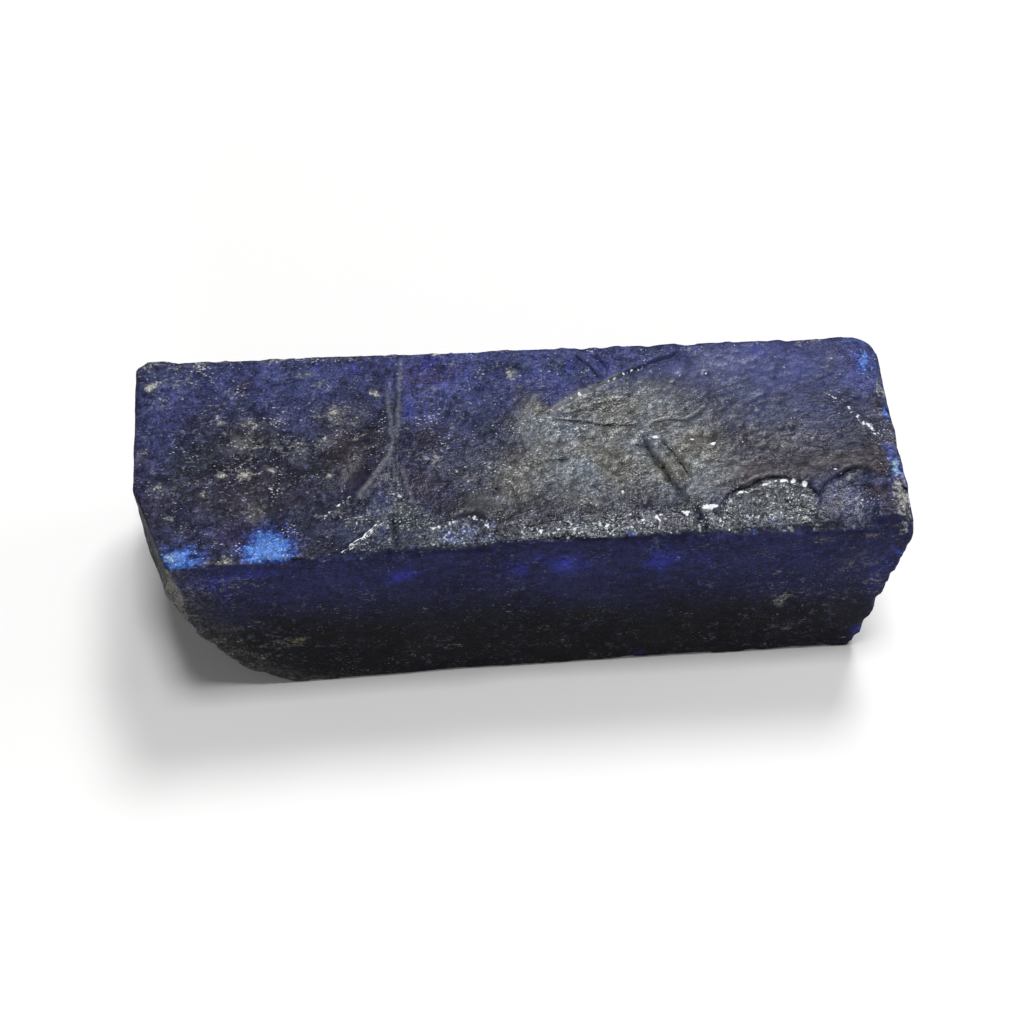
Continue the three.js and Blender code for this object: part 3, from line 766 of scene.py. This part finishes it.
def unwrap(mesh):
    """Lays the six sides of the stone's box out flat, as a map for baked textures."""
    width, depth, height = HIGH - LOW + CHART_GAP
    left, right = (2, 1, width, 0), (2, 1, width, depth)
    top, bottom = (0, 1, 0, 0), (0, 1, 0, depth)
    front, back = (0, 2, 0, 2 * depth), (0, 2, 0, 2 * depth + height)
    charts = [left, front, bottom, right, back, top]
    places = read_vectors(mesh, "co")[triangles(mesh)]
    middles = places.mean(axis=1)
    nearest = np.concatenate([middles - LOW, HIGH - middles], axis=1)[:, :5].argmin(axis=1)
    chosen = np.where(on_faces(mesh, "worn") > 0.5, charts.index(top), nearest)
    spots = np.zeros((len(places), 3, 2), np.float32)
    for index, (across, up, start, base) in enumerate(charts):
        here = chosen == index
        spots[here] = (places[here] - LOW)[:, :, [across, up]] + (start, base)
    spots /= max(width + height, 2 * (depth + height))
    layer = mesh.uv_layers.new(name="OFBake")
    layer.data.foreach_set("uv", spots.ravel())


def stone():
    """The sapphire's visible skin, made from a copy of the plain solid."""
    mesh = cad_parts["sapphire"].data.copy()
    mesh.materials.clear()
    piece = add_object("sapphire_skin", mesh)
    refine(piece)
    places, normals = read_vectors(piece.data, "co"), read_vectors(piece.data, "normal")
    places[:, 2] += settle(places, normals)
    write_places(piece.data, places)
    normals = read_vectors(piece.data, "normal")
    mask = masks(places, normals)
    write_places(piece.data, carve(places, normals, mask))
    store(piece.data, mask)
    thin_out(piece, mask["worn"])
    shade(piece.data)
    unwrap(piece.data)
    piece.data.materials.append(stone_material())
    return piece


class Wiring:
    """Short calls for laying out one material's nodes."""

    def __init__(self, material):
        material.use_nodes = True
        self.tree = material.node_tree
        self.tree.nodes.clear()
        self.kept = {}

    def add(self, kind, inputs, output=0, **settings):
        node = self.tree.nodes.new(kind)
        for name, value in settings.items():
            setattr(node, name, value)
        for name, value in inputs.items():
            if isinstance(value, bpy.types.NodeSocket):
                self.tree.links.new(value, node.inputs[name])
            else:
                node.inputs[name].default_value = value
        return node.outputs[output]

    def math(self, operation, first, second=0, clamp=False):
        return self.add("ShaderNodeMath", {0: first, 1: second}, operation=operation, use_clamp=clamp)

    def plus(self, *values):
        total = values[0]
        for value in values[1:]:
            total = self.math("ADD", total, value)
        return total

    def times(self, *values):
        total = values[0]
        for value in values[1:]:
            total = self.math("MULTIPLY", total, value)
        return total

    def mix(self, share, first, second, blend="MIX"):
        inputs = {0: share, 6: first, 7: second}
        return self.add("ShaderNodeMix", inputs, output=2, data_type="RGBA", blend_type=blend)

    def step(self, value, low, high, start=0, end=1):
        inputs = {"Value": value, "From Min": low, "From Max": high, "To Min": start, "To Max": end}
        return self.add("ShaderNodeMapRange", inputs, interpolation_type="SMOOTHSTEP")

    def named(self, name):
        """The pattern kept under this name, or else the mask that the mesh carries."""
        if name in self.kept:
            return self.kept[name]
        return self.add("ShaderNodeAttribute", {}, output="Fac", attribute_name=name)

    def total(self, *values, **weights):
        """The sum of the values, and of named patterns and masks times their weights."""
        named = (self.times(self.named(name), weight) for name, weight in weights.items())
        return self.plus(*values, *named)

    def by_face(self, on_sides, on_top):
        """One value on the sides and another on the worn top face."""
        return self.step(self.named("worn"), 0, 1, on_sides, on_top)

    def paint(self, colour, tint, value, low, high, *shares):
        """A tint laid over a colour: none where the value is low, and its full share where it is high."""
        return self.mix(self.times(self.step(value, low, high), *shares), colour, tint)

    def scale(self, share, colour, factor):
        """The colour times a factor, as far as the share says."""
        return self.mix(share, colour, factor, "MULTIPLY")

    def place(self, scale, turn=0):
        """The place on the stone, turned about the upright axis and divided by a size for each axis."""
        spot = self.add("ShaderNodeTexCoord", {}, output="Object")
        if turn:
            inputs = {"Vector": spot, "Angle": turn}
            spot = self.add("ShaderNodeVectorRotate", inputs, rotation_type="Z_AXIS")
        sizes = tuple(1 / (MM * size) for size in scale)
        return self.add("ShaderNodeVectorMath", {0: spot, 1: sizes}, operation="MULTIPLY")

    def noise(self, size, detail=2, offset=0, turn=0):
        """Smooth random values around 0 that change over about one size, in mm, for all axes or each."""
        scale = (size,) * 3 if isinstance(size, (int, float)) else size
        inputs = {0: self.place(scale, turn), 1: (offset,) * 3}
        where = self.add("ShaderNodeVectorMath", inputs, operation="ADD")
        value = self.add("ShaderNodeTexNoise", {"Vector": where, "Scale": 1, "Detail": detail})
        return self.math("SUBTRACT", value, 0.5)

    def cells(self, size):
        """Two random values from 0 to 1 for every grain of about the given size."""
        inputs = {"Vector": self.place((size,) * 3), "Scale": 1}
        colour = self.add("ShaderNodeTexVoronoi", inputs, output="Color")
        return [self.add("ShaderNodeSeparateColor", {0: colour}, output=k) for k in (0, 1)]

    def line(self, kind):
        """1 along the middle of the lines with this stain, falling off to both sides."""
        across = self.named(kind + "_across")
        falloff = self.math("EXPONENT", self.times(across, across, -1))
        return self.times(falloff, self.named(kind + "_line"))

    def finish(self, shader, kind="ShaderNodeOutputMaterial"):
        out = self.tree.nodes.new(kind)
        self.tree.links.new(shader, out.inputs["Surface"])


def creases(wire):
    """1 along fine, short creases of the worn face and 0 beside them."""
    away = wire.math("ABSOLUTE", wire.noise((1.2, 0.6, 0.6), 2, 97))
    gate = wire.step(wire.noise(1.3, 1, 101), -0.06, 0.12)
    gate = wire.times(gate, wire.named("worn"), wire.step(wire.named("wax"), 0, 1, 1, 0.4))
    return wire.times(wire.step(away, 0, 0.035, 1, 0), gate)


def ground_colour(wire):
    """The stone's own blues, violets, browns and blacks, in soft clouds."""
    worn = wire.named("worn")
    cloud = wire.noise(2.6, 2, 11)
    hue = wire.total(wire.noise(4.2, 2, 83), blot=0.2)
    uneven = wire.total(wire.times(cloud, 0.35), blot=0.14, speck=0.12)
    violet = wire.plus(wire.named("violet"), wire.times(uneven, wire.by_face(0.35, 0.8)))
    olive = wire.total(wire.noise(3.4, 2, 31), blot=0.5)
    top = wire.paint(WORN_DEEP, WORN_OLIVE, olive, -0.15, 0.2)
    top = wire.paint(top, WORN_VIOLET, violet, -0.15, 1.05)
    top = wire.paint(top, WORN_TEAL, hue, 0.04, 0.3, 0.7)
    top = wire.paint(top, WORN_PURPLE, hue, -0.04, -0.3, 0.6)
    colour = wire.mix(worn, wire.paint(SIDE_BLACK, SIDE_NAVY, violet, -0.15, 1.05), top)
    brown = wire.total(wire.times(cloud, 0.6), brown=1)
    colour = wire.paint(colour, BROWN, brown, 0.1, 1, worn, 0.8)
    # Painted sheen: grey laid over the colour where the lamps' reflection lies, besides the clear coat
    haze = wire.paint(PAINTED_SHEEN_WARM, PAINTED_SHEEN_COOL, hue, -0.22, 0.22)
    colour = wire.paint(colour, haze, wire.named("haze"), 0.1, 0.9, 0.8)
    colour = wire.paint(colour, ROYAL, wire.total(royal=1, blot=0.9), 0.1, 1.2, 0.7)
    mottle = wire.total(speck=1, blot=0.6, fine=1)
    rubble = wire.paint(BROKEN_DARK, BROKEN_PALE, mottle, -0.4, 0.5)
    return wire.mix(wire.named("broken"), colour, rubble)


def grainy(wire, colour):
    """Light and dark grain over the ground, weaker where the surface is waxy and streaky on the sides."""
    worn, haze = wire.named("worn"), wire.named("haze")
    streak = wire.plus(wire.noise((1.3, 1.3, 0.6), 3, 53), wire.noise(2.6, 2, 59))
    streak = wire.times(streak, wire.math("SUBTRACT", 1, worn), 0.45)
    tone = wire.step(wire.total(streak, fine=0.8, speck=0.8), -0.32, 0.32, 0.42, 1.66)
    colour = wire.scale(1, colour, wire.mix(wire.total(wax=0.6, haze=0.5), tone, UNCHANGED))
    # Light and dark specks break up the painted sheen
    grains = wire.times(wire.plus(wire.cells(0.2)[0], wire.cells(0.38)[0]), 0.5)
    crumbs = wire.step(wire.total(grains, speck=1), 0.05, 0.95, 0.55, 1.5)
    colour = wire.scale(1, colour, wire.mix(wire.times(haze, 0.8), UNCHANGED, crumbs))
    rough = wire.total(worn=0.22, haze=0.3, grain=0.5)
    colour = wire.scale(rough, colour, wire.step(wire.named("grit"), -0.3, 0.3, 0.15, 2))
    slanted = wire.times(wire.noise((3, 0.4, 3), 2, 71, STREAK_ANGLE), wire.named("streaky"))
    broad = wire.total(wire.noise(1.9, 2, 79), slanted, blot=0.8)
    patchy = wire.step(broad, -0.36, 0.36, 0.6, 1.36)
    return wire.scale(wire.total(worn=1, haze=-0.5), colour, patchy)


def flecked(wire, colour):
    """Short flecks: bluish, grey in places, beige in clusters, and larger ones on the sides."""
    worn, pale = wire.named("worn"), wire.named("pale")
    plain = wire.total(wire.by_face(-0.03, 0), wax=-0.12, haze=-0.12)
    cloud = wire.total(pale, blot=1.6, speck=1.2)
    colour = wire.paint(colour, BEIGE, cloud, 0.3, 1.4, worn, 0.36)
    bluish = wire.total(plain, dash=1, blot=0.4)
    colour = wire.paint(colour, BLUE_GREY, bluish, 0.09, 0.24, wire.by_face(0.16, 0.45))
    patches = wire.times(wire.noise(1.7, 1, 67), 0.8)
    grey = wire.total(wire.noise((0.36, 0.24, 0.18), 1, 61), patches, plain, pale=0.14, fine=0.4)
    colour = wire.paint(colour, GREY, grey, 0.18, 0.44, wire.by_face(0.3, 0.8))
    clusters = wire.plus(plain, wire.step(pale, 0.9, 1.6, 0, 0.13))
    beige = wire.noise((0.5, 0.34, 0.26), 3, 37)
    beige = wire.total(beige, clusters, blot=0.5, pale=0.22, fine=0.6)
    tint = wire.paint(BEIGE, CREAM, wire.total(fine=1, grit=1), -0.25, 0.4)
    colour = wire.paint(colour, tint, beige, 0.22, 0.48, wire.by_face(0.5, 0.95))
    large = wire.total(wire.noise((0.6, 0.6, 0.42), 3, 113), blot=0.5, pale=0.18, fine=0.35)
    return wire.paint(colour, SIDE_FLECK, large, 0.15, 0.42, wire.math("SUBTRACT", 1, worn), 0.6)


def broken_ground(wire, colour):
    """Slate-coloured broken ground with painted shade in the gaps and painted glints on some of its fine
    grains.
    """
    first, second = wire.cells(0.12)
    third, fourth = wire.cells(0.18)
    base = wire.paint(GRAIN_SLATE, GRAIN_NAVY, wire.named("violet"), 0.1, 0.9)
    # Painted shade in the gaps between grains
    grains = wire.paint(LINE_BLACK, base, third, 0, 0.3)
    bright = wire.total(first, wire.times(third, 0.5), speck=0.6)
    grains = wire.paint(grains, GRAIN_GREY, bright, 0.45, 1.45)
    # Painted glints on some grains
    small = wire.step(wire.total(second, blot=0.25), 0.94, 0.97)
    large = wire.step(wire.total(fourth, blot=0.3), 0.97, 1)
    grains = wire.mix(wire.times(wire.math("MAXIMUM", small, large), 0.85), grains, PAINTED_GLINT_WHITE)
    return wire.paint(colour, grains, wire.total(grain=1, speck=0.7), 0.1, 0.8)


def patched(wire, colour):
    """Bright blue patches, painted glow of light through thin edges, with a paler core and painted
    glints; cream crust in the corners and along the edges, and ochre spots.
    """
    uneven = wire.total(blot=0.8, speck=0.8, fine=0.5)
    patch = wire.paint(COBALT, AZURE, wire.total(uneven, blue=1, dash=1), 0.3, 1.3)
    patch = wire.paint(patch, ICE, wire.total(uneven, ice=1), 0.25, 0.9)
    tone = wire.total(fine=1, grit=1, speck=1)
    patch = wire.scale(0.75, patch, wire.step(tone, -0.4, 0.4, 0.5, 1.6))
    patch = wire.paint(patch, PAINTED_GLINT_WHITE, wire.total(dash=1, grit=1), 0.26, 0.42, 0.6)
    colour = wire.paint(colour, patch, wire.total(uneven, blue=1), 0.15, 1)
    crust = wire.total(wire.times(uneven, 1.1), crust=0.75)
    tint = wire.paint(CRUST_SHADE, CREAM, wire.total(fine=1, speck=1), -0.25, 0.4)
    colour = wire.paint(colour, tint, crust, 0.25, 0.95, 0.85)
    ochre = wire.total(wire.times(uneven, 1.4), ochre=1)
    return wire.paint(colour, OCHRE, ochre, 0.45, 1.3, 0.75)


def lined(wire, colour):
    """Painted highlights on ridges, painted shade in cracks, pits and creases, and painted glints in rows
    and singly.

    A single glint has a spot of painted shade beside it. The second result says how dark the cracks are.
    """
    uneven = wire.step(wire.total(fine=1, speck=1), -0.3, 0.3, 0.5, 1.4)
    # Painted highlight along the pale ridge lines
    colour = wire.mix(wire.times(wire.line("pale"), uneven), colour, PAINTED_RIDGE_HIGHLIGHT)
    # Painted shade: cracks, grooves, pits and creases darkened where shade falls in them, together with
    # the darker band along the front's top edge
    dark = wire.total(wire.line("dark"), pit=0.6, crease=0.6, lip=0.75)
    dark = wire.math("MULTIPLY", dark, uneven, clamp=True)
    colour = wire.mix(dark, colour, LINE_BLACK)
    crowd = wire.total(wire.noise(1.8, 1, 43), wax=-0.16, haze=0.12, grain=0.12)
    amount = wire.by_face(0.22, 1)
    # Each single painted glint gets a spot of painted shade beside it, shifted a little from it
    for shift, tint, share in ((0.75, LINE_BLACK, 0.5), (0, PAINTED_GLINT_WHITE, 0.55)):
        spark = wire.plus(wire.noise((0.18, 0.11, 0.11), 0, 41 + shift), wire.times(crowd, 0.5))
        colour = wire.paint(colour, tint, spark, 0.28, 0.4, amount, share)
    # Painted glints in rows along lines and in single spots
    painted_glint = wire.math("MAXIMUM", wire.line("painted_glint"), wire.named("painted_glint"))
    painted_glint = wire.plus(painted_glint, wire.times(wire.noise(0.3, 1, 47), 1.8))
    return wire.paint(colour, PAINTED_GLINT_WHITE, painted_glint, 0.55, 0.9), dark


def clear_coat(wire, dark):
    """How much clear coat there is: most on haze and grain, none in dark cracks."""
    uneven = wire.step(wire.total(fine=1, speck=1), -0.35, 0.35, 0.45, 1.5)
    return wire.times(wire.total(**COAT), wire.math("SUBTRACT", 1, dark), uneven)


def fine_bump(wire):
    """The finest unevenness, weaker on wax, haze and the sides."""
    smoother = wire.step(wire.named("wax"), 0, 0.9, 0.85, 0.22)
    hazy = wire.step(wire.named("haze"), 0, 1, 1, 0.7)
    return wire.add("ShaderNodeBump", {
        "Strength": wire.times(smoother, hazy, wire.by_face(0.55, 1)),
        "Distance": BUMP_DEPTH * MM,
        "Height": wire.total(fine=0.5, dash=0.3, speck=0.9, crease=-0.4),
    })


def stone_material():
    """Dark blue corundum: worn and satin on top, near black on the sides."""
    material = bpy.data.materials.new("sapphire_rough")
    wire = Wiring(material)
    wire.kept = {
        "fine": wire.noise(0.16, 2),
        "grit": wire.noise(0.09, 0, 91),
        "speck": wire.noise(0.42, 2, 5),
        "blot": wire.noise(0.85, 2, 23),
        "dash": wire.noise((0.44, 0.28, 0.2), 1, 3),
        "crease": creases(wire),
    }
    colour = ground_colour(wire)
    for layer in (grainy, flecked, broken_ground, patched):
        colour = layer(wire, colour)
    colour, dark = lined(wire, colour)
    bump = fine_bump(wire)
    wire.finish(wire.add("ShaderNodeBsdfPrincipled", {
        "Base Color": colour,
        "Roughness": wire.step(wire.named("speck"), -0.3, 0.3, 0.5, 0.8),
        "Specular IOR Level": GLOSS,
        "Coat Weight": clear_coat(wire, dark),
        "Coat Roughness": COAT_ROUGHNESS,
        "Coat IOR": COAT_IOR,
        "Normal": bump,
        "Coat Normal": bump,
    }))
    return material


def floor():
    """A plain pale floor."""
    half = FLOOR_SIDE * MM / 2
    mesh = bpy.data.meshes.new("floor")
    corners = [(-half, -half, 0), (half, -half, 0), (half, half, 0), (-half, half, 0)]
    mesh.from_pydata(corners, [], [(0, 1, 2, 3)])
    piece = add_object("floor", mesh)
    material = bpy.data.materials.new("floor_white")
    wire = Wiring(material)
    wire.finish(wire.add("ShaderNodeBsdfPrincipled", {
        "Base Color": FLOOR_COLOUR,
        "Roughness": 0.8,
        "Specular IOR Level": 0.1,
    }))
    mesh.materials.append(material)


def room():
    """A dim, even room behind the lamps."""
    world = bpy.data.worlds.new("room")
    wire = Wiring(world)
    background = wire.add("ShaderNodeBackground", {"Color": ROOM_COLOUR, "Strength": ROOM_STRENGTH})
    wire.finish(background, "ShaderNodeOutputWorld")
    bpy.context.scene.world = world
    bpy.context.scene.view_settings.view_transform = "Standard"


def toward(azimuth, elevation):
    """The direction at these angles in degrees: azimuth from x towards y, elevation from the floor up."""
    turn, rise = math.radians(azimuth), math.radians(elevation)
    return Vector((math.cos(rise) * math.cos(turn), math.cos(rise) * math.sin(turn), math.sin(rise)))


def light(name, lamp):
    """A soft rectangular lamp that faces the stone."""
    data = bpy.data.lights.new(name, "AREA")
    data.shape = "RECTANGLE"
    data.size, data.size_y = (2 * LAMP_DISTANCE * MM * math.tan(math.radians(angle) / 2)
                              for angle in (lamp.width, lamp.height))
    data.energy = lamp.power
    piece = add_object(name, data)
    outward = toward(lamp.azimuth, lamp.elevation)
    piece.rotation_euler = outward.to_track_quat("Z", "Y").to_euler()
    piece.location = outward * LAMP_DISTANCE * MM


def camera():
    """The photograph's own view."""
    data = bpy.data.cameras.new("camera")
    data.sensor_fit = "HORIZONTAL"
    data.angle = VIEW_ANGLE
    data.clip_start = 0.01
    piece = add_object("camera", data)
    level = math.cos(VIEW_ELEVATION)
    sideways, away = math.sin(VIEW_AZIMUTH) * level, math.cos(VIEW_AZIMUTH) * level
    back = Vector((sideways, -away, math.sin(VIEW_ELEVATION)))
    piece.location = (Vector(VIEW_TARGET) + back * VIEW_DISTANCE) * MM
    piece.rotation_euler = back.to_track_quat("Z", "Y").to_euler()
    bpy.context.scene.camera = piece


camera()
room()
for lamp_name, lamp in LAMPS.items():
    light(lamp_name, lamp)
floor()
skin = stone()
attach(skin, "root")
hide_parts("sapphire")
